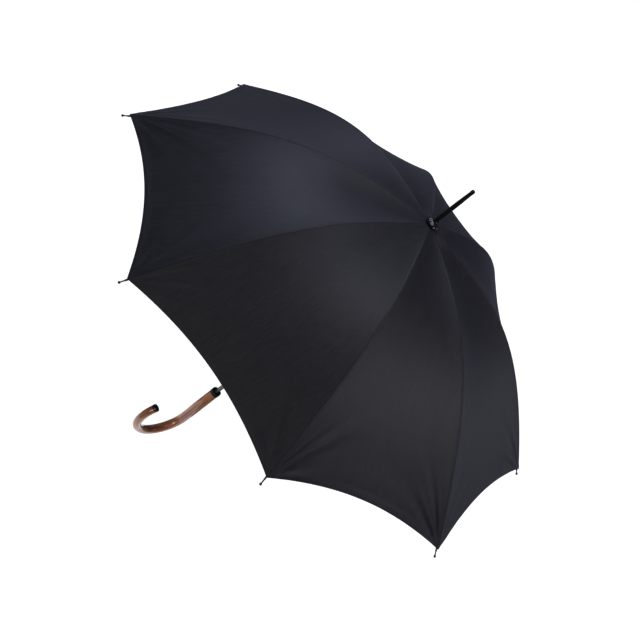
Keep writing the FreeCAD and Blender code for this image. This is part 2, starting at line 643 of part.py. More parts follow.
def make_handle():
    """Wooden crook with a bore for the shaft, a cross hole for its pin and a socket for the end cap."""
    path, end, heading = crook_path()
    section = Part.Wire(Part.makeCircle(HANDLE_RADIUS, Vector(0, 0, HANDLE_TOP), Vector(0, 0, -1)))
    handle = path.makePipeShell([section], True, True)
    bore_foot = HANDLE_TOP - HANDLE_BORE_DEPTH - SEAT_GAP
    handle = handle.cut(rod(SHAFT_RADIUS + SEAT_GAP, bore_foot, HANDLE_TOP + OVERCUT))
    handle = handle.cut(
        cross_rod(HANDLE_PIN_RADIUS + SEAT_GAP, HANDLE_RADIUS * 2, 0, HANDLE_TOP - HANDLE_PIN_DEPTH)
    )
    depth = END_CAP_SPIGOT_LENGTH + SEAT_GAP
    width = END_CAP_SPIGOT_RADIUS + SEAT_GAP
    socket = Part.makeCylinder(width, depth + OVERCUT, end - heading * depth, heading)
    return handle.cut(socket)


def make_handle_pin():
    """Cross pin that holds the shaft in the handle."""
    return cross_rod(HANDLE_PIN_RADIUS, HANDLE_RADIUS * 0.98, 0, HANDLE_TOP - HANDLE_PIN_DEPTH)


def make_handle_collar():
    """Shallow black cup between the handle and the shaft."""
    cup = ring(SHAFT_RADIUS + SEAT_GAP, COLLAR_RADIUS, HANDLE_TOP, COLLAR_TOP)
    recess = ring(SHAFT_RADIUS, COLLAR_RADIUS - COLLAR_WALL, COLLAR_TOP - COLLAR_RECESS, COLLAR_TOP + OVERCUT)
    return cup.cut(recess)


def make_handle_end_cap():
    """Rounded cap on the free end of the crook, with a spigot into the wood."""
    _, end, heading = crook_path()
    cap = Part.makeCylinder(END_CAP_RADIUS, END_CAP_LENGTH, end, heading)
    far_edges = [e for e in cap.Edges if e.Closed and (e.CenterOfMass - end).Length > END_CAP_LENGTH / 2]
    cap = cap.makeFillet(END_CAP_LENGTH * 0.6, far_edges)
    spigot = Part.makeCylinder(
        END_CAP_SPIGOT_RADIUS, END_CAP_SPIGOT_LENGTH + OVERCUT, end - heading * END_CAP_SPIGOT_LENGTH, heading
    )
    return cap.fuse(spigot)


# ---- all the sub-parts ----
for piece, master in (
    ("rib", make_rib()),
    ("rib_tip", make_rib_tip()),
    ("rib_rivet", make_rivet()),
    ("stretcher", make_stretcher()),
    ("canopy_gore", make_gore()),
):
    for number in range(1, RIB_COUNT + 1):
        save(piece + "_" + str(number), to_rib(master, number))

save("closure_strap", to_rib(make_strap(), STRAP_GORE))
save("snap_socket", to_rib(make_snap(SNAP_PLACE, True), STRAP_GORE))
save("snap_stud", to_rib(make_snap(1 - SNAP_PLACE, False), STRAP_GORE))
save("crown_hub", make_crown_hub())
save("crown_wire", make_crown_wire())
save("crown_washer", make_crown_washer())
save("crown_cap", make_crown_cap())
save("ferrule", make_ferrule())
save("ferrule_tip", make_ferrule_tip())
save("shaft", make_shaft())
save("stop_pin", make_stop_pin())
save("top_catch", make_catch(True))
save("bottom_catch", make_catch(False))
save("runner", make_runner())
save("handle", make_handle())
save("handle_pin", make_handle_pin())
save("handle_collar", make_handle_collar())
save("handle_end_cap", make_handle_end_cap())

print("crown hinges at", round(CROWN_Z, 3), "runner pivots at", round(RUNNER_PIVOT_Z, 3))
print("rib fold", round(FOLD_ANGLE, 4), "stretcher fold", round(STRETCHER_FOLD, 4))
print("runner travel", round(RUNNER_TRAVEL, 4))
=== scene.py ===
"""Looks of the open stick umbrella: sewn cloth canopy, lacquered steel ribs, varnished crook handle.

Everything is in the part's own frame, in metres: the shaft on +Z, the ferrule at the top.
"""

import math

import bmesh
import bpy
import numpy as np
from mathutils import Matrix, Vector
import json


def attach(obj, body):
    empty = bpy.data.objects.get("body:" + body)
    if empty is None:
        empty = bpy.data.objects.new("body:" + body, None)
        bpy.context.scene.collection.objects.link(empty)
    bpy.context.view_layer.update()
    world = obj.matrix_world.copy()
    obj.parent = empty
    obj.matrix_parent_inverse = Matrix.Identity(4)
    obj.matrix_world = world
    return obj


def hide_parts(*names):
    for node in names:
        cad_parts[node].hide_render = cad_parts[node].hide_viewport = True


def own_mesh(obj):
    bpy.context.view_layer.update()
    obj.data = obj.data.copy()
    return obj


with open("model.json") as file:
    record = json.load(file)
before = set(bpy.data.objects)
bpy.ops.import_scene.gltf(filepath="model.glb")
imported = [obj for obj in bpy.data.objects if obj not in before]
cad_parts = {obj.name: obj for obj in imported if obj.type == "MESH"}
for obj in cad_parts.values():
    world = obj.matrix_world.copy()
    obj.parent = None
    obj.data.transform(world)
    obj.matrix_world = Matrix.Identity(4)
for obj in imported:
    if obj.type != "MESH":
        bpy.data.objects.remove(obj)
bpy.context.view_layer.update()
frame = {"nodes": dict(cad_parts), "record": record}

# ---- the canopy's curve, as in the part ----
RIB_COUNT = 8
STEP = 2 * math.pi / RIB_COUNT
CROWN_Z = 0.7485
CORNER_RADIUS = 0.490
RIM_DROP = 0.2455
CROWN_SLOPE = math.radians(7.6)
RIM_SLOPE = math.radians(44.3)
CROWN_PULL = 0.197
RIM_PULL = 0.301
HINGE_RADIUS = 0.010
FABRIC_LIFT = 0.0038
PANEL_SAG = 0.009
SCALLOP = 0.031
GORE_INNER_RADIUS = 0.0118

# ---- cloth ----
CLOTH_THICKNESS = 0.0004
CLOTH_LIFT = FABRIC_LIFT - CLOTH_THICKNESS
ROWS = 118                    # steps from the crown to the hem
COLUMNS = 40                  # steps from a seam to the middle of a panel
HEM_WIDTH = 0.007
HEM_RISE = 0.0005
SEAM_WIDTH = 0.0042
SEAM_RISE = 0.00045
PUCKER_PITCH = 0.0085
GATHER = {1: 0.00015, 2: 0.00012, 3: 0.00012, 4: 0.0002, 5: 0.0007, 6: 0.0006, 7: 0.0005, 8: 0.0003}
HOLLOW = {5: -0.003}          # a panel that is pulled in further than its sag
TIP_FOLD = {1: 0.0007, 2: 0.0008, 3: 0.0008, 4: 0.0009, 5: 0.0008, 6: 0.0007, 7: 0.0007, 8: 0.0007}


def rib_direction(slope):
    return np.array([math.cos(slope), -math.sin(slope)])


RIB_START = np.array([HINGE_RADIUS, 0.0])
RIM_NORMAL = np.array([math.sin(RIM_SLOPE), math.cos(RIM_SLOPE)])
RIB_STOP = np.array([CORNER_RADIUS, -RIM_DROP]) - RIM_NORMAL * FABRIC_LIFT
RIB_POLES = [
    RIB_START,
    RIB_START + rib_direction(CROWN_SLOPE) * CROWN_PULL,
    RIB_STOP - rib_direction(RIM_SLOPE) * RIM_PULL,
    RIB_STOP,
]


def rib_curve(share, lift):
    """Points (out, up) at these shares of a rib's curve, lifted off it by lift; share may be an array."""
    t = np.asarray(share, float)[..., None]
    a, b, c, d = RIB_POLES
    place = a * (1 - t) ** 3 + 3 * b * t * (1 - t) ** 2 + 3 * c * t**2 * (1 - t) + d * t**3
    along = 3 * (b - a) * (1 - t) ** 2 + 6 * (c - b) * t * (1 - t) + 3 * (d - c) * t**2
    along /= np.linalg.norm(along, axis=-1, keepdims=True)
    normal = np.stack([-along[..., 1], along[..., 0]], axis=-1)
    return place + normal * lift


def start_share():
    """Share of the rib's curve where the cloth begins, at the crown."""
    low, high = 0.0, 0.2
    for _ in range(40):
        middle = (low + high) / 2
        if rib_curve(middle, FABRIC_LIFT)[0] < GORE_INNER_RADIUS:
            low = middle
        else:
            high = middle
    return high


CLOTH_START = start_share()


def smooth(x, low, high):
    t = np.clip((x - low) / (high - low), 0, 1)
    return t * t * (3 - 2 * t)


def panel_grid(u, w):
    """Points of half a panel beside a rib that lies over +X: u from crown to hem, w from seam to middle.

    Returns the stretched cloth, without folds, on the side of +Y.
    """
    swell = 1 - (1 - w) ** 2
    share = CLOTH_START + (1 - CLOTH_START) * u * (1 - SCALLOP * swell)
    ridge = rib_curve(share, CLOTH_LIFT)
    out, up = ridge[..., 0], ridge[..., 1]
    sag = PANEL_SAG * 4 * u * (1 - u) * swell
    x = out * (1 - math.sin(STEP / 2) ** 2 * w)
    y = out * math.sin(STEP / 2) * math.cos(STEP / 2) * w
    return np.stack([x, y, up - sag], axis=-1)


def waves(values, seed, count=5, low=1.0, high=3.0):
    """Smooth seeded unevenness: a sum of a few sines of values."""
    draw = np.random.default_rng(seed)
    total = np.zeros_like(values)
    for _ in range(count):
        total += np.sin(values * draw.uniform(low, high) + draw.uniform(0, 6.28))
    return total / count


def panel_folds(panel, side, u, w, half_width, length):
    """Height of creases on a panel's half, in metres. The half beside its first rib has side 1."""
    s = (w - 1) * side                        # -1 at the first rib, 0 in the middle, 1 at the second
    along = u * length
    from_hem = (1 - u) * length
    from_seam = w * half_width
    height = np.zeros_like(u)

    # creases that fan out from the two tip corners
    for corner in (-1, 1):
        draw = np.random.default_rng(40 + panel * 2 + corner)
        dx = (s - corner) * -corner * half_width
        radius = np.hypot(dx, from_hem)
        angle = np.arctan2(dx, from_hem + 1e-6)
        reach = 0.055 + 0.03 * draw.random()
        fan = np.sin(angle * draw.uniform(9, 12) + draw.uniform(0, 6.28) + 2.4 * np.sin(radius * 16))
        fan += 0.6 * np.sin(angle * draw.uniform(18, 24) + draw.uniform(0, 6.28))
        fade = np.exp(-((radius / reach) ** 1.5)) * smooth(radius, 0.004, 0.03) * smooth(dx, 0.0, 0.012)
        height += TIP_FOLD[panel] * fan * fade

    # folds that run out from under the cap
    draw = np.random.default_rng(90 + panel)
    gather = np.sin(s * draw.uniform(5, 8) * math.pi + draw.uniform(0, 6.28) + 1.2 * np.sin(along * 22))
    gather *= np.exp(-((along / 0.055) ** 1.6)) * smooth(along, 0.004, 0.02) * smooth(from_seam, 0.0, 0.004)
    height += GATHER[panel] * gather

    # small puckers beside the seams
    for rib in (-1, 1):
        draw = np.random.default_rng(130 + panel * 2 + rib)
        away = np.abs(s - rib) * half_width
        phase = along / PUCKER_PITCH * 2 * math.pi + 1.6 * waves(along * 60, 160 + panel * 2 + rib)
        pucker = np.sin(phase) * (0.6 + 0.4 * waves(along * 34, 200 + panel * 2 + rib))
        height += 0.00034 * pucker * np.exp(-away / 0.011) * smooth(away, 0.0, 0.003) * smooth(u, 0.05, 0.2)

    # slow unevenness of cloth that isn't equally tight everywhere
    draw = np.random.default_rng(300 + panel)
    tilt = draw.uniform(-0.4, 0.4)
    slow = np.sin(along * 9 + s * tilt * 4 + draw.uniform(0, 6.28))
    slow *= np.cos(s * 2.4 + draw.uniform(-0.8, 0.8))
    height += 0.0012 * slow * smooth(from_seam, 0.0, 0.05) * smooth(u, 0.1, 0.3) * smooth(from_hem, 0.0, 0.06)
    height += HOLLOW.get(panel, 0.0) * (1 - s**2) * smooth(u, 0.25, 0.8)

    # long soft pulls along the panel, between the crown and the hem
    pulls = waves(s * half_width * 150 + 0.4 * np.sin(along * 9), 400 + panel, 4, 0.5, 1.4)
    height += 0.00012 * pulls * smooth(from_seam, 0.0, 0.02) * smooth(u, 0.05, 0.25)
    return height


def unit(vectors):
    return vectors / np.maximum(np.linalg.norm(vectors, axis=-1, keepdims=True), 1e-12)


def upward_normals(points):
    """Normals of a grid of points, on the upper side."""
    normal = unit(np.cross(np.gradient(points, axis=0), np.gradient(points, axis=1)))
    return normal * np.where(normal[..., 2:3] < 0, -1.0, 1.0)


ROW_LINE = 1 - (1 - np.linspace(0, 1, ROWS + 1)) ** 1.12       # a little closer together at the hem
ACROSS_LINE = np.linspace(-1, 1, 2 * COLUMNS + 1)
U, W = np.meshgrid(ROW_LINE, np.abs(ACROSS_LINE) ** 1.25, indexing="ij")
SIDE = np.where(ACROSS_LINE >= 0, 1.0, -1.0)[None, :] * np.ones_like(U)
SWELL = 1 - (1 - W) ** 2
RIDGE_LINE = rib_curve(CLOTH_START + (1 - CLOTH_START) * np.linspace(0, 1, ROWS + 1), CLOTH_LIFT)
RIB_LENGTH = float(np.linalg.norm(np.diff(RIDGE_LINE, axis=0), axis=1).sum())


def panels_of(number):
    """The panel on each side of a rib: {side: panel}. Panel 1 lies between ribs 1 and 2."""
    return {1: number, -1: (number - 2) % RIB_COUNT + 1}


def gore_points(number):
    """Upper face of the cloth beside one rib, from the middle of one panel to the middle of the next."""
    place = panel_grid(U, W)
    place[..., 1] *= SIDE
    half_width = np.hypot(place[..., 0], place[..., 1]) * math.tan(STEP / 2)
    height = np.zeros_like(U)
    for side, panel in panels_of(number).items():
        half = ACROSS_LINE * side >= 0
        height[:, half] = panel_folds(panel, side, U[:, half], W[:, half], half_width[:, half], RIB_LENGTH)
    normal = upward_normals(place)
    # in the middle of a panel and over the rib, the normal leans neither way
    for column, lean in ((0, -STEP / 2), (COLUMNS, 0.0), (-1, STEP / 2)):
        tangent = np.array([-math.sin(lean), math.cos(lean), 0.0])
        flat = normal[:, column]
        normal[:, column] = unit(flat - tangent * (flat @ tangent)[:, None])
    from_seam = W * half_width
    from_hem = (1 - U) * RIB_LENGTH * (1 - SCALLOP * SWELL)
    seam_rise = SEAM_RISE * np.exp(-((from_seam / (SEAM_WIDTH * 0.5)) ** 4)) * smooth(U, 0.0, 0.22)
    hem_rise = HEM_RISE * (1 - smooth(from_hem, HEM_WIDTH * 0.9, HEM_WIDTH * 1.1))
    below = CLOTH_THICKNESS * np.where(from_hem < HEM_WIDTH, 2.2, 1.0)
    top = place + normal * (height + seam_rise + hem_rise)[..., None]
    under = place + normal * (height - below)[..., None]
    rotation = np.array(Matrix.Rotation(STEP * (number - 1), 3, "Z"))
    lift = np.array([0.0, 0.0, CROWN_Z])
    return {
        "top": top @ rotation.T + lift,
        "under": under @ rotation.T + lift,
        "half_width": half_width,
        "from_seam": from_seam,
        "from_hem": from_hem,
    }


def shell_faces(rows, columns):
    """Faces of a closed shell on two grids of points, the upper grid first: upper, lower and edge faces."""
    count = rows * columns
    index = np.arange(count).reshape(rows, columns)
    a, b = index[:-1, :-1].ravel(), index[:-1, 1:].ravel()
    c, d = index[1:, 1:].ravel(), index[1:, :-1].ravel()
    border = np.concatenate([index[0, :-1], index[:-1, -1], index[-1, :0:-1], index[:0:-1, 0]])
    following = np.roll(border, -1)
    upper = np.stack([a, d, c, b], axis=1)
    lower = np.stack([a, b, c, d], axis=1) + count
    return upper, lower, np.stack([border, following, following + count, border + count], axis=1)


def gore_mesh(number, gore, normal):
    """The cloth beside one rib as a thin closed shell, and the area of one of its faces."""
    rows, columns = U.shape
    flat_count = rows * columns
    vertices = np.concatenate([gore["top"].reshape(-1, 3), gore["under"].reshape(-1, 3)])
    upper, lower, rim = shell_faces(rows, columns)
    faces = np.concatenate([upper, lower, rim])

    mesh = bpy.data.meshes.new(f"canopy_panel_{number}")
    mesh.from_pydata(vertices.tolist(), [], faces.tolist())
    mesh.update()
    mesh.polygons.foreach_set("use_smooth", np.ones(len(faces), bool))
    corner = np.empty(len(mesh.loops), np.int64)
    mesh.loops.foreach_get("vertex_index", corner)
    of_cloth = corner % flat_count

    # what the cloth's material reads, per face corner, because the seam belongs to two panels
    centre_column = (faces % flat_count % columns).mean(axis=1)
    face_side = np.where(centre_column[np.repeat(np.arange(len(faces)), 4)] >= COLUMNS, 1.0, -1.0)
    beside = panels_of(number)
    across_cloth = (1 - W.reshape(-1)[of_cloth]) * gore["half_width"].reshape(-1)[of_cloth] * -face_side
    along_cloth = (U * RIB_LENGTH).reshape(-1)[of_cloth]
    panel = np.where(face_side > 0, beside[1], beside[-1])
    from_seam = gore["from_seam"].reshape(-1)[of_cloth]
    from_hem = gore["from_hem"].reshape(-1)[of_cloth]
    for name, values in (
        ("weave", (across_cloth, along_cloth, panel)),
        ("distance", (from_seam, from_hem, along_cloth)),
    ):
        attribute = mesh.attributes.new(name, "FLOAT_VECTOR", "CORNER")
        attribute.data.foreach_set("vector", np.stack(values, axis=-1).astype(np.float32).ravel())

    # shading that runs on unbroken from one piece of cloth to the next
    shading = np.concatenate([normal.reshape(-1, 3), -normal.reshape(-1, 3)])[corner]
    rim_points = vertices[rim]
    rim_normal = unit(np.cross(rim_points[:, 2] - rim_points[:, 0], rim_points[:, 3] - rim_points[:, 1]))
    shading[-4 * len(rim):] = np.repeat(rim_normal, 4, axis=0)
    mesh.normals_split_custom_set(shading.tolist())

    quads = vertices[upper]
    area = np.linalg.norm(np.cross(quads[:, 2] - quads[:, 0], quads[:, 3] - quads[:, 1]), axis=1).sum() / 2
    return mesh, float(area)


# ---- materials ----
def new_material(name):
    material = bpy.data.materials.new(name)
    material.use_nodes = True
    tree = material.node_tree
    shader = tree.nodes["Principled BSDF"]
    return material, tree, shader


def node(tree, kind, **values):
    made = tree.nodes.new(kind)
    for key, value in values.items():
        if hasattr(made, key):
            setattr(made, key, value)
        else:
            made.inputs[key.replace("_", " ")].default_value = value
    return made


def math_node(tree, operation, first, second=None, clamp=False):
    made = tree.nodes.new("ShaderNodeMath")
    made.operation = operation
    made.use_clamp = clamp
    for slot_number, value in enumerate((first, second)):
        if value is None:
            continue
        if isinstance(value, (int, float)):
            made.inputs[slot_number].default_value = value
        else:
            tree.links.new(value, made.inputs[slot_number])
    return made.outputs[0]


def weighted(tree, *terms):
    """Sum of (value, weight) pairs."""
    total = None
    for value, weight in terms:
        part = value if weight == 1.0 else math_node(tree, "MULTIPLY", value, weight)
        total = part if total is None else math_node(tree, "ADD", total, part)
    return total


def mix_colour(tree, share, first, second):
    made = tree.nodes.new("ShaderNodeMix")
    made.data_type = "RGBA"
    for socket, value in ((made.inputs[0], share), (made.inputs[6], first), (made.inputs[7], second)):
        if isinstance(value, (int, float, tuple)):
            socket.default_value = value
        else:
            tree.links.new(value, socket)
    return made.outputs[2]


def ramp(tree, value, low, high, low_to=0.0, high_to=1.0):
    made = tree.nodes.new("ShaderNodeMapRange")
    made.interpolation_type = "SMOOTHSTEP"
    tree.links.new(value, made.inputs["Value"])
    made.inputs["From Min"].default_value = low
    made.inputs["From Max"].default_value = high
    made.inputs["To Min"].default_value = low_to
    made.inputs["To Max"].default_value = high_to
    return made.outputs[0]


def noise(tree, vector, scale, detail=3.0, rough=0.5, kind="3D"):
    made = tree.nodes.new("ShaderNodeTexNoise")
    made.noise_dimensions = kind
    made.inputs["Scale"].default_value = scale
    made.inputs["Detail"].default_value = detail
    made.inputs["Roughness"].default_value = rough
    tree.links.new(vector, made.inputs["Vector"])
    return made.outputs["Fac"]


def stretched(tree, vector, scale):
    made = tree.nodes.new("ShaderNodeMapping")
    made.inputs["Scale"].default_value = scale
    tree.links.new(vector, made.inputs["Vector"])
    return made.outputs[0]


def bands(tree, vector, scale, direction, own_scale=1.0):
    """Even bands, from 0 to 1 and back."""
    made = node(tree, "ShaderNodeTexWave", wave_type="BANDS", bands_direction=direction)
    tree.links.new(stretched(tree, vector, scale), made.inputs["Vector"])
    made.inputs["Scale"].default_value = own_scale
    return made.outputs["Fac"]


def stitches(tree, from_edge, place, dashes):
    """A broken line of thread at this distance from an edge."""
    line = math_node(tree, "ABSOLUTE", math_node(tree, "SUBTRACT", from_edge, place))
    line = ramp(tree, line, 0.0003, 0.0008, 1.0, 0.0)
    return math_node(tree, "MULTIPLY", line, ramp(tree, dashes, 0.35, 0.6))


def object_place(tree):
    return tree.nodes.new("ShaderNodeTexCoord").outputs["Object"]


def add_bump(tree, shader, height, strength, distance):
    made = tree.nodes.new("ShaderNodeBump")
    made.inputs["Strength"].default_value = strength
    made.inputs["Distance"].default_value = distance
    tree.links.new(height, made.inputs["Height"])
    tree.links.new(made.outputs[0], shader.inputs["Normal"])


def colour(red, green, blue):
    return (red, green, blue, 1.0)


CLOTH_DARK = colour(0.0085, 0.0080, 0.0105)
CLOTH_LIGHT = colour(0.0230, 0.0225, 0.0285)
SEAM_STITCH = 0.0031          # from the seam to its stitches
HEM_STITCH = 0.0056           # from the hem's edge to its stitches
THREAD_SCALE = 180.0
DASH_SCALE = 96.0


def cloth_material():
    material, tree, shader = new_material("canopy_cloth")
    weave = node(tree, "ShaderNodeAttribute", attribute_name="weave").outputs["Vector"]
    distance = node(tree, "ShaderNodeAttribute", attribute_name="distance").outputs["Vector"]
    parts = tree.nodes.new("ShaderNodeSeparateXYZ")
    tree.links.new(weave, parts.inputs[0])
    away = tree.nodes.new("ShaderNodeSeparateXYZ")
    tree.links.new(distance, away.inputs[0])

    # streaks of slightly thicker and thinner yarn, along the panel's middle line
    fine = noise(tree, stretched(tree, weave, (640.0, 44.0, 7.0)), 1.0, 3.0, 0.6)
    broad = noise(tree, stretched(tree, weave, (150.0, 12.0, 11.0)), 1.0, 2.0, 0.5)
    streak = weighted(tree, (fine, 0.75), (broad, 0.25))
    # the weave itself: warp and weft
    warp = bands(tree, weave, (THREAD_SCALE, 0.0, 0.0), "X")
    weft = bands(tree, weave, (0.0, THREAD_SCALE, 0.0), "Y")
    threads = math_node(tree, "MULTIPLY", warp, weft)

    # stitches: a broken line beside each seam and along the hem
    seam_dashes = bands(tree, weave, (0.0, DASH_SCALE, 0.0), "Y")
    seam_stitch = stitches(tree, away.outputs["X"], SEAM_STITCH, seam_dashes)
    hem_dashes = bands(tree, weave, (DASH_SCALE, 0.0, 0.0), "X")
    hem_stitch = stitches(tree, away.outputs["Y"], HEM_STITCH, hem_dashes)
    stitch = math_node(tree, "MAXIMUM", seam_stitch, hem_stitch)
    # painted shade: masks that darken the cloth in the turn at the hem's edge and in the groove beside each
    # seam
    hem_edge_shade = ramp(tree, away.outputs["Y"], 0.0, 0.0016, 0.55, 1.0)
    seam_groove_shade = ramp(tree, away.outputs["X"], 0.0004, 0.0020, 0.55, 1.0)

    worn = noise(tree, stretched(tree, weave, (9.0, 9.0, 3.0)), 1.0, 3.0, 0.6)
    tone = weighted(tree, (streak, 0.75), (worn, 0.25))
    tone = ramp(tree, tone, 0.33, 0.67)
    cloth = mix_colour(tree, tone, CLOTH_DARK, CLOTH_LIGHT)
    # painted shade of the hem's edge and the seam grooves, mixed into the cloth's colour
    shade = math_node(tree, "MULTIPLY", hem_edge_shade, seam_groove_shade)
    dark = mix_colour(tree, shade, colour(0.006, 0.006, 0.007), cloth)
    final = mix_colour(tree, stitch, dark, colour(0.026, 0.026, 0.030))
    tree.links.new(final, shader.inputs["Base Color"])

    rough = math_node(tree, "ADD", 0.40, math_node(tree, "MULTIPLY", streak, 0.16))
    tree.links.new(weighted(tree, (rough, 1.0), (stitch, 0.12)), shader.inputs["Roughness"])
    shader.inputs["Specular IOR Level"].default_value = 0.5
    shader.inputs["Sheen Weight"].default_value = 0.10
    shader.inputs["Sheen Roughness"].default_value = 0.45
    shader.inputs["Sheen Tint"].default_value = colour(0.62, 0.70, 0.95)

    relief = weighted(tree, (streak, 0.55), (threads, 0.18), (stitch, -0.5))
    add_bump(tree, shader, relief, 0.55, 0.0006)
    return material


def webbing_material():
    material, tree, shader = new_material("strap_cloth")
    place = object_place(tree)
    ribs = bands(tree, place, (300.0, 300.0, 300.0), "DIAGONAL", 5.0)
    uneven = noise(tree, stretched(tree, place, (160.0, 160.0, 160.0)), 1.0, 4.0, 0.6)
    tree.links.new(mix_colour(tree, uneven, CLOTH_DARK, CLOTH_LIGHT), shader.inputs["Base Color"])
    tree.links.new(ramp(tree, uneven, 0.2, 0.8, 0.45, 0.65), shader.inputs["Roughness"])
    relief = weighted(tree, (ribs, 0.5), (uneven, 1.0))
    add_bump(tree, shader, relief, 0.5, 0.0004)
    shader.inputs["Sheen Weight"].default_value = 0.10
    return material


def painted_material(name, base, light, rough_low, rough_high, coat, grain_scale):
    """Lacquer or moulding: fine orange peel, slight smears and small scratches in the gloss."""
    material, tree, shader = new_material(name)
    place = object_place(tree)
    peel = noise(tree, stretched(tree, place, (1400.0, 1400.0, 1400.0)), 1.0, 2.0, 0.5)
    smear = noise(tree, stretched(tree, place, (grain_scale, grain_scale, grain_scale * 0.4)), 1.0, 4.0, 0.6)
    scratch = noise(tree, stretched(tree, place, (2600.0, 2600.0, 120.0)), 1.0, 1.0, 0.4)
    tree.links.new(mix_colour(tree, smear, base, light), shader.inputs["Base Color"])
    gloss = weighted(tree, (smear, 0.7), (scratch, 0.3))
    tree.links.new(ramp(tree, gloss, 0.3, 0.7, rough_low, rough_high), shader.inputs["Roughness"])
    shader.inputs["Coat Weight"].default_value = coat
    shader.inputs["Coat Roughness"].default_value = 0.08
    add_bump(tree, shader, weighted(tree, (peel, 1.0), (scratch, 0.5)), 0.12, 0.0002)
    return material


def steel_material(name, base, light, rough_low, rough_high, along):
    """Drawn steel: lines along the tube or wire, faint smudges."""
    material, tree, shader = new_material(name)
    place = object_place(tree)
    lines = noise(tree, stretched(tree, place, along), 1.0, 4.0, 0.6)
    smudge = noise(tree, stretched(tree, place, (60.0, 60.0, 18.0)), 1.0, 3.0, 0.6)
    tone = weighted(tree, (lines, 0.6), (smudge, 0.4))
    tree.links.new(mix_colour(tree, tone, base, light), shader.inputs["Base Color"])
    tree.links.new(ramp(tree, tone, 0.3, 0.7, rough_low, rough_high), shader.inputs["Roughness"])
    shader.inputs["Metallic"].default_value = 1.0
    add_bump(tree, shader, lines, 0.15, 0.0002)
    return material


WOOD_DARK = colour(0.120, 0.030, 0.014)
WOOD_LIGHT = colour(0.430, 0.160, 0.066)
WOOD_PORE = colour(0.080, 0.022, 0.012)


def wood_material():
    """Red-brown stained wood under a gloss varnish, with the grain along the handle's own length."""
    material, tree, shader = new_material("varnished_wood")
    place = node(tree, "ShaderNodeAttribute", attribute_name="straight").outputs["Vector"]
    warp = noise(tree, stretched(tree, place, (60.0, 60.0, 12.0)), 1.0, 2.0, 0.5)
    offset = tree.nodes.new("ShaderNodeCombineXYZ")
    tree.links.new(math_node(tree, "MULTIPLY", warp, 0.006), offset.inputs[0])
    bent = tree.nodes.new("ShaderNodeVectorMath")
    bent.operation = "ADD"
    tree.links.new(place, bent.inputs[0])
    tree.links.new(offset.outputs[0], bent.inputs[1])
    rings = noise(tree, stretched(tree, bent.outputs[0], (330.0, 110.0, 6.0)), 1.0, 3.0, 0.55)
    fibre = noise(tree, stretched(tree, place, (1500.0, 1500.0, 38.0)), 1.0, 3.0, 0.6)
    pores = noise(tree, stretched(tree, place, (2600.0, 2600.0, 150.0)), 1.0, 2.0, 0.6)
    cloud = noise(tree, stretched(tree, place, (46.0, 46.0, 17.0)), 1.0, 3.0, 0.55)
    grain = ramp(tree, weighted(tree, (rings, 0.5), (cloud, 0.3), (fibre, 0.2)), 0.36, 0.64)
    stain = mix_colour(tree, grain, WOOD_DARK, WOOD_LIGHT)
    darker = mix_colour(tree, ramp(tree, pores, 0.58, 0.74), stain, WOOD_PORE)
    tree.links.new(darker, shader.inputs["Base Color"])
    tree.links.new(ramp(tree, cloud, 0.3, 0.7, 0.24, 0.36), shader.inputs["Roughness"])
    shader.inputs["Coat Weight"].default_value = 1.0
    shader.inputs["Coat Roughness"].default_value = 0.07
    shader.inputs["Coat IOR"].default_value = 1.5
    add_bump(tree, shader, weighted(tree, (cloud, 1.0), (pores, 0.3)), 0.12, 0.0004)
    return material


MATERIALS = {
    "canopy_fabric": cloth_material(),
    "strap_webbing": webbing_material(),
    "black_steel": painted_material(
        "lacquered_steel", colour(0.012, 0.012, 0.013), colour(0.022, 0.022, 0.024), 0.30, 0.45, 0.25, 90.0
    ),
    "black_enamel": painted_material(
        "black_enamel_finish", colour(0.006, 0.006, 0.007), colour(0.012, 0.012, 0.013), 0.10, 0.22, 0.6, 70.0
    ),
    "bright_steel": steel_material(
        "bright_steel_finish", colour(0.45, 0.46, 0.48), colour(0.62, 0.63, 0.65), 0.22, 0.38,
        (900.0, 900.0, 900.0)
    ),
    "shaft_steel": steel_material(
        "shaft_steel_finish", colour(0.42, 0.43, 0.45), colour(0.58, 0.59, 0.61), 0.34, 0.46,
        (1500.0, 1500.0, 24.0)
    ),
    "black_plastic": painted_material(
        "black_moulding", colour(0.007, 0.007, 0.008), colour(0.014, 0.014, 0.015), 0.14, 0.28, 0.4, 60.0
    ),
    "varnished_wood": wood_material(),
}

for entry in frame["record"]["subparts"]:
    kept = frame["nodes"][entry["node"]]
    kept.data.materials.clear()
    kept.data.materials.append(MATERIALS[entry["material_slot"]])


# ---- the canopy ----
gores = {number: gore_points(number) for number in range(1, RIB_COUNT + 1)}
normals = {number: upward_normals(gore["top"]) for number, gore in gores.items()}
for number in range(1, RIB_COUNT + 1):
    following = number % RIB_COUNT + 1
    shared = unit(normals[number][:, -1] + normals[following][:, 0])
    normals[number][:, -1] = shared
    normals[following][:, 0] = shared

panels = []
for number in range(1, RIB_COUNT + 1):
    mesh, area = gore_mesh(number, gores[number], normals[number])
    mesh.materials.append(MATERIALS["canopy_fabric"])
    panel = bpy.data.objects.new(f"canopy_panel_{number}", mesh)
    bpy.context.scene.collection.objects.link(panel)
    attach(panel, f"rib_{number}")
    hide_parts(f"canopy_gore_{number}")
    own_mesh(panel)
    width = 2 * CORNER_RADIUS * math.sin(STEP / 2)
    panels.append(panel)

# ---- the crook handle and its end cap ----
HANDLE_RADIUS = 0.0095
HANDLE_END_RADIUS = 0.0079
HANDLE_TOP = 0.1575
CROOK_RADIUS = 0.055
CROOK_HEIGHT = 0.0645
CROOK_SWEEP = math.radians(205.0)
CROOK_END = 0.005
END_CAP_LENGTH = 0.008
END_CAP_OVERHANG = 0.0003
END_CAP_PROFILE = [
    (0.0, 0.97), (0.03, 1.0), (0.10, 1.0), (0.14, 0.97), (0.18, 1.0), (0.50, 0.99), (0.70, 0.95),
    (0.84, 0.86), (0.93, 0.70), (0.98, 0.45), (1.0, 0.12),
]
HANDLE_RINGS = 240
HANDLE_SIDES = 56


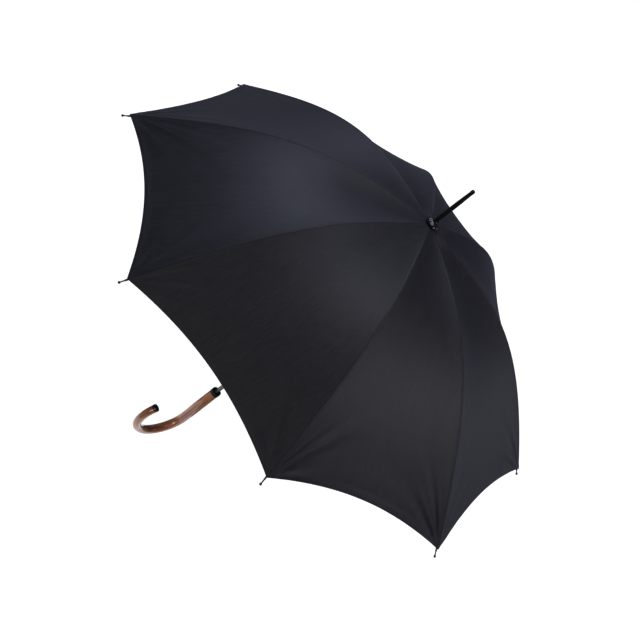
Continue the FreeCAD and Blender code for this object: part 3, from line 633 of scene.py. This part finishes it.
def crook_place(reach):
    """Point and heading on the handle's middle line, this far from its top."""
    straight = HANDLE_TOP - CROOK_HEIGHT
    turn = min(max(reach - straight, 0.0) / CROOK_RADIUS, CROOK_SWEEP)
    beyond = max(reach - straight - CROOK_RADIUS * CROOK_SWEEP, 0.0)
    heading = Vector((0.0, math.sin(turn), -math.cos(turn)))
    if reach < straight:
        return Vector((0.0, 0.0, HANDLE_TOP - reach)), heading
    bend = Vector((0.0, CROOK_RADIUS * (1 - math.cos(turn)), CROOK_HEIGHT - CROOK_RADIUS * math.sin(turn)))
    return bend + heading * beyond, heading


HANDLE_LENGTH = HANDLE_TOP - CROOK_HEIGHT + CROOK_RADIUS * CROOK_SWEEP + CROOK_END


def handle_radius(reach):
    """Half thickness of the wood, slimmer towards the end of the crook."""
    share = smooth(reach / HANDLE_LENGTH, 0.42, 1.0)
    return HANDLE_RADIUS + (HANDLE_END_RADIUS - HANDLE_RADIUS) * float(share)


def ring_faces(rings, sides):
    """Faces between rings of points, and a flat one at each end."""
    faces = []
    for i in range(rings - 1):
        for j in range(sides):
            k = (j + 1) % sides
            faces.append((i * sides + j, i * sides + k, (i + 1) * sides + k, (i + 1) * sides + j))
    faces.append(tuple(range(sides - 1, -1, -1)))
    faces.append(tuple(range((rings - 1) * sides, rings * sides)))
    return faces


def swept_mesh(name, sections, sides):
    """A closed round piece through these sections, each (middle, heading, radius, distance along it)."""
    vertices, straight = [], []
    for middle, heading, radius, reach in sections:
        side = Vector((1.0, 0.0, 0.0))
        other = heading.cross(side)
        for j in range(sides):
            angle = 2 * math.pi * j / sides
            vertices.append(middle + (side * math.cos(angle) + other * math.sin(angle)) * radius)
            straight.append((math.cos(angle) * radius, math.sin(angle) * radius, reach))
    faces = ring_faces(len(sections), sides)
    mesh = bpy.data.meshes.new(name)
    mesh.from_pydata([tuple(v) for v in vertices], [], faces)
    mesh.update()
    mesh.polygons.foreach_set("use_smooth", [len(face) == 4 for face in faces])
    attribute = mesh.attributes.new("straight", "FLOAT_VECTOR", "POINT")
    attribute.data.foreach_set("vector", np.array(straight, np.float32).ravel())
    bm = bmesh.new()
    bm.from_mesh(mesh)
    bmesh.ops.recalc_face_normals(bm, faces=bm.faces)
    bm.to_mesh(mesh)
    bm.free()
    return mesh


def show(name, mesh, material, body, *stands_for):
    """Adds a piece that rides on a body and stands for some of the part's nodes."""
    mesh.materials.append(material)
    piece = bpy.data.objects.new(name, mesh)
    bpy.context.scene.collection.objects.link(piece)
    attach(piece, body)
    if stands_for:
        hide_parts(*stands_for)
    return piece


sections = []
for i in range(HANDLE_RINGS + 1):
    reach = HANDLE_LENGTH * i / HANDLE_RINGS
    middle, heading = crook_place(reach)
    sections.append((middle, heading, handle_radius(reach), reach))
handle = show(
    "crook_handle", swept_mesh("crook_handle", sections, HANDLE_SIDES), MATERIALS["varnished_wood"],
    "shaft_assembly", "handle"
)

end_place, end_heading = crook_place(HANDLE_LENGTH)
cap_radius = HANDLE_END_RADIUS + END_CAP_OVERHANG
sections = []
for share, width in END_CAP_PROFILE:
    middle = end_place + end_heading * END_CAP_LENGTH * share
    sections.append((middle, end_heading, cap_radius * width, share))
end_cap = show(
    "crook_end_cap", swept_mesh("crook_end_cap", sections, HANDLE_SIDES), MATERIALS["black_plastic"],
    "shaft_assembly", "handle_end_cap"
)


# ---- the closure strap and its snap ----
STRAP_GORE = 7
STRAP_FROM, STRAP_TO = 0.62, 0.93
STRAP_OFFSET = 0.014
STRAP_WIDTH = 0.018
STRAP_THICKNESS = 0.0010
STRAP_CLEAR = 0.0008
SNAP_SHARE = 0.08
STRAP_STEPS, STRAP_SPAN = 90, 16


def strap_grid():
    """Middle of the strap's under face, where it lies on the cloth beside its rib, and its upward normals."""
    u = np.linspace(STRAP_FROM, STRAP_TO, STRAP_STEPS + 1)[:, None] * np.ones((1, STRAP_SPAN + 1))
    out = rib_curve(CLOTH_START + (1 - CLOTH_START) * u, CLOTH_LIFT)[..., 0]
    away = STRAP_OFFSET + STRAP_WIDTH * np.linspace(0, 1, STRAP_SPAN + 1)[None, :]
    w = away / (out * math.sin(STEP / 2) * math.cos(STEP / 2))
    place = panel_grid(u, w)
    normal = upward_normals(place)
    half_width = np.hypot(place[..., 0], place[..., 1]) * math.tan(STEP / 2)
    folds = panel_folds(STRAP_GORE, 1, u, w, half_width, RIB_LENGTH)
    # the strap bridges the smallest folds and lifts a little along its middle
    share = np.linspace(0, 1, STRAP_STEPS + 1)[:, None]
    lift = STRAP_CLEAR + 0.0006 * np.sin(share * math.pi) * np.sin(share * 9.0) ** 2
    place = place + normal * (np.maximum(folds, 0) + lift)[..., None]
    rotation = np.array(Matrix.Rotation(STEP * (STRAP_GORE - 1), 3, "Z"))
    return place @ rotation.T + np.array([0.0, 0.0, CROWN_Z]), normal @ rotation.T


def shell_mesh(name, under, normal, thickness):
    """A thin closed shell on a grid of points."""
    vertices = np.concatenate([(under + normal * thickness).reshape(-1, 3), under.reshape(-1, 3)])
    upper, lower, edge = shell_faces(*under.shape[:2])
    faces = np.concatenate([upper, lower, edge])
    mesh = bpy.data.meshes.new(name)
    mesh.from_pydata(vertices.tolist(), [], faces.tolist())
    mesh.update()
    smooth_faces = np.arange(len(faces)) < 2 * len(upper)
    mesh.polygons.foreach_set("use_smooth", smooth_faces)
    return mesh


def turned_mesh(name, profile, place, heading, sides=40):
    """A round piece about an axis, from its profile of (radius, height)."""
    side = heading.orthogonal().normalized()
    other = heading.cross(side)
    vertices = []
    for radius, height in profile:
        for j in range(sides):
            angle = 2 * math.pi * j / sides
            spoke = side * math.cos(angle) + other * math.sin(angle)
            vertices.append(tuple(place + heading * height + spoke * radius))
    faces = ring_faces(len(profile), sides)
    mesh = bpy.data.meshes.new(name)
    mesh.from_pydata(vertices, [], faces)
    mesh.update()
    mesh.polygons.foreach_set("use_smooth", [len(face) == 4 for face in faces])
    return mesh


strap_under, strap_normal = strap_grid()
strap = show(
    "wrap_strap", shell_mesh("wrap_strap", strap_under, strap_normal, STRAP_THICKNESS),
    MATERIALS["strap_webbing"], f"rib_{STRAP_GORE}", "closure_strap"
)
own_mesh(strap)

SOCKET_PROFILE = [
    (0.0048, 0.0), (0.0050, 0.0003), (0.0050, 0.0010), (0.0047, 0.0013), (0.0033, 0.0014),
    (0.0026, 0.0012), (0.0024, 0.0006), (0.0002, 0.0005),
]
STUD_PROFILE = [
    (0.0048, 0.0), (0.0050, 0.0003), (0.0050, 0.0008), (0.0046, 0.0011), (0.0026, 0.0013),
    (0.0021, 0.0017), (0.0023, 0.0024), (0.0019, 0.0029), (0.0002, 0.0030),
]
for name, stands_for, profile, share in (
    ("strap_socket", "snap_socket", SOCKET_PROFILE, SNAP_SHARE),
    ("strap_stud", "snap_stud", STUD_PROFILE, 1 - SNAP_SHARE),
):
    row = round(share * STRAP_STEPS)
    column = STRAP_SPAN // 2
    heading = Vector(strap_normal[row, column]).normalized()
    foot = Vector(strap_under[row, column]) + heading * (STRAP_THICKNESS - 0.0001)
    snap_mesh = turned_mesh(name, profile, foot, heading)
    snap = show(name, snap_mesh, MATERIALS["black_enamel"], f"rib_{STRAP_GORE}", stands_for)
    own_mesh(snap)


# ---- floor, light and camera ----
scene = bpy.context.scene


def link(thing):
    scene.collection.objects.link(thing)
    return thing


FLOOR_SIZE = 60.0
FLOOR_Z = -0.002
floor_mesh = bpy.data.meshes.new("floor")
half = FLOOR_SIZE / 2
corners = [(-half, -half), (half, -half), (half, half), (-half, half)]
floor_mesh.from_pydata([(x, y, FLOOR_Z) for x, y in corners], [], [(0, 1, 2, 3)])
floor = link(bpy.data.objects.new("floor", floor_mesh))
floor_material, _, floor_shader = new_material("pale_floor")
floor_shader.inputs["Base Color"].default_value = colour(0.9, 0.9, 0.9)
floor_shader.inputs["Roughness"].default_value = 0.9
floor_shader.inputs["Emission Color"].default_value = colour(1.0, 1.0, 1.0)
floor_shader.inputs["Emission Strength"].default_value = 0.95
floor_mesh.materials.append(floor_material)
floor.visible_glossy = False                 # the cloth's outside shines in the lamps alone

# a round patch right under the handle, which its varnish mirrors
NEAR_FLOOR_RADIUS = 0.14
NEAR_FLOOR_Y = 0.04
NEAR_FLOOR_Z = -0.0015
SPOKES = 96
near_mesh = bpy.data.meshes.new("near_floor")
spokes = [(math.cos(a), math.sin(a)) for a in (2 * math.pi * i / SPOKES for i in range(SPOKES))]
near_mesh.from_pydata(
    [(NEAR_FLOOR_RADIUS * x, NEAR_FLOOR_Y + NEAR_FLOOR_RADIUS * y, NEAR_FLOOR_Z) for x, y in spokes],
    [], [tuple(range(SPOKES))]
)
near_mesh.materials.append(floor_material)
near_floor = link(bpy.data.objects.new("near_floor", near_mesh))

# a pale wall far round the floor, which only the camera sees
WALL_RADIUS = 29.0
WALL_FOOT = -0.01
WALL_HEIGHT = 40.0
wall_mesh = bpy.data.meshes.new("wall")
wall_mesh.from_pydata(
    [(WALL_RADIUS * x, WALL_RADIUS * y, z) for z in (WALL_FOOT, WALL_HEIGHT) for x, y in spokes],
    [], [(i, (i + 1) % SPOKES, (i + 1) % SPOKES + SPOKES, i + SPOKES) for i in range(SPOKES)]
)
wall_mesh.materials.append(floor_material)
wall = link(bpy.data.objects.new("wall", wall_mesh))
wall.visible_diffuse = False
wall.visible_glossy = False
wall.visible_shadow = False

world = bpy.data.worlds.new("studio")
scene.world = world
world.use_nodes = True
world.node_tree.nodes["Background"].inputs["Color"].default_value = colour(0.90, 0.94, 1.0)
world.node_tree.nodes["Background"].inputs["Strength"].default_value = 0.03

LOOK_AT = Vector((0.0, 0.0, 0.55))


def softbox(name, azimuth, elevation, distance, width, height, power, tint, aim=LOOK_AT):
    """A soft light that shines on the aim from this direction. Azimuth 0 is on the side of -Y."""
    a, e = math.radians(azimuth), math.radians(elevation)
    away = Vector((math.sin(a) * math.cos(e), -math.cos(a) * math.cos(e), math.sin(e)))
    data = bpy.data.lights.new(name, "AREA")
    data.shape = "RECTANGLE"
    data.size = width
    data.size_y = height
    data.energy = power
    data.color = tint
    lamp = link(bpy.data.objects.new(name, data))
    lamp.location = aim + away * distance
    lamp.rotation_mode = "QUATERNION"
    lamp.rotation_quaternion = away.to_track_quat("Z", "Y")
    return lamp


softbox("cool_side", 90.0, 44.0, 2.6, 0.9, 0.9, 10.4, (0.66, 0.72, 1.0))
softbox("far_side", -63.0, 46.0, 2.6, 0.8, 0.8, 9.2, (0.94, 0.90, 1.0))
softbox("overhead", 0.0, 86.0, 2.4, 0.8, 0.8, 5.4, (0.74, 0.76, 1.0))
softbox("shoulder", 125.0, 72.0, 2.6, 0.7, 0.7, 6.6, (0.97, 0.93, 1.0))
softbox("low_fill", -18.0, 10.0, 2.8, 0.8, 0.6, 1.5, (0.86, 0.88, 1.0))
softbox("low_side", 57.0, 22.0, 2.8, 0.7, 0.7, 2.2, (0.70, 0.70, 1.0))
softbox("near_fill", -157.0, 37.0, 2.8, 0.5, 0.5, 2.6, (1.0, 0.95, 0.88))
softbox("handle_glow", -150.0, 9.0, 0.8, 0.34, 0.2, 1.3, (1.0, 0.97, 0.94), Vector((0.0, 0.04, 0.07)))

# the camera looks down on the canopy, turned well round its own axis
CAMERA_AZIMUTH = -153.3
CAMERA_ELEVATION = 33.03
CAMERA_ROLL = 52.3
CAMERA_DISTANCE = 2.45
CAMERA_AIM = Vector((-0.0733, 0.1171, 0.5430))
CAMERA_LENS = 80.8

azimuth, elevation = math.radians(CAMERA_AZIMUTH), math.radians(CAMERA_ELEVATION)
back = Vector(
    (math.sin(azimuth) * math.cos(elevation), -math.cos(azimuth) * math.cos(elevation), math.sin(elevation))
)
level = Vector((math.cos(azimuth), math.sin(azimuth), 0.0))
rise = back.cross(level)
roll = math.radians(CAMERA_ROLL)
right = level * math.cos(roll) + rise * math.sin(roll)
up = back.cross(right)
camera_data = bpy.data.cameras.new("camera")
camera_data.lens = CAMERA_LENS
camera_data.sensor_width = 36.0
camera_data.clip_end = 200.0
camera = link(bpy.data.objects.new("camera", camera_data))
place = CAMERA_AIM + back * CAMERA_DISTANCE
camera.matrix_world = Matrix(
    (
        (right.x, up.x, back.x, place.x),
        (right.y, up.y, back.y, place.y),
        (right.z, up.z, back.z, place.z),
        (0.0, 0.0, 0.0, 1.0),
    )
)
scene.camera = camera
scene.view_settings.view_transform = "Standard"
scene.view_settings.look = "None"
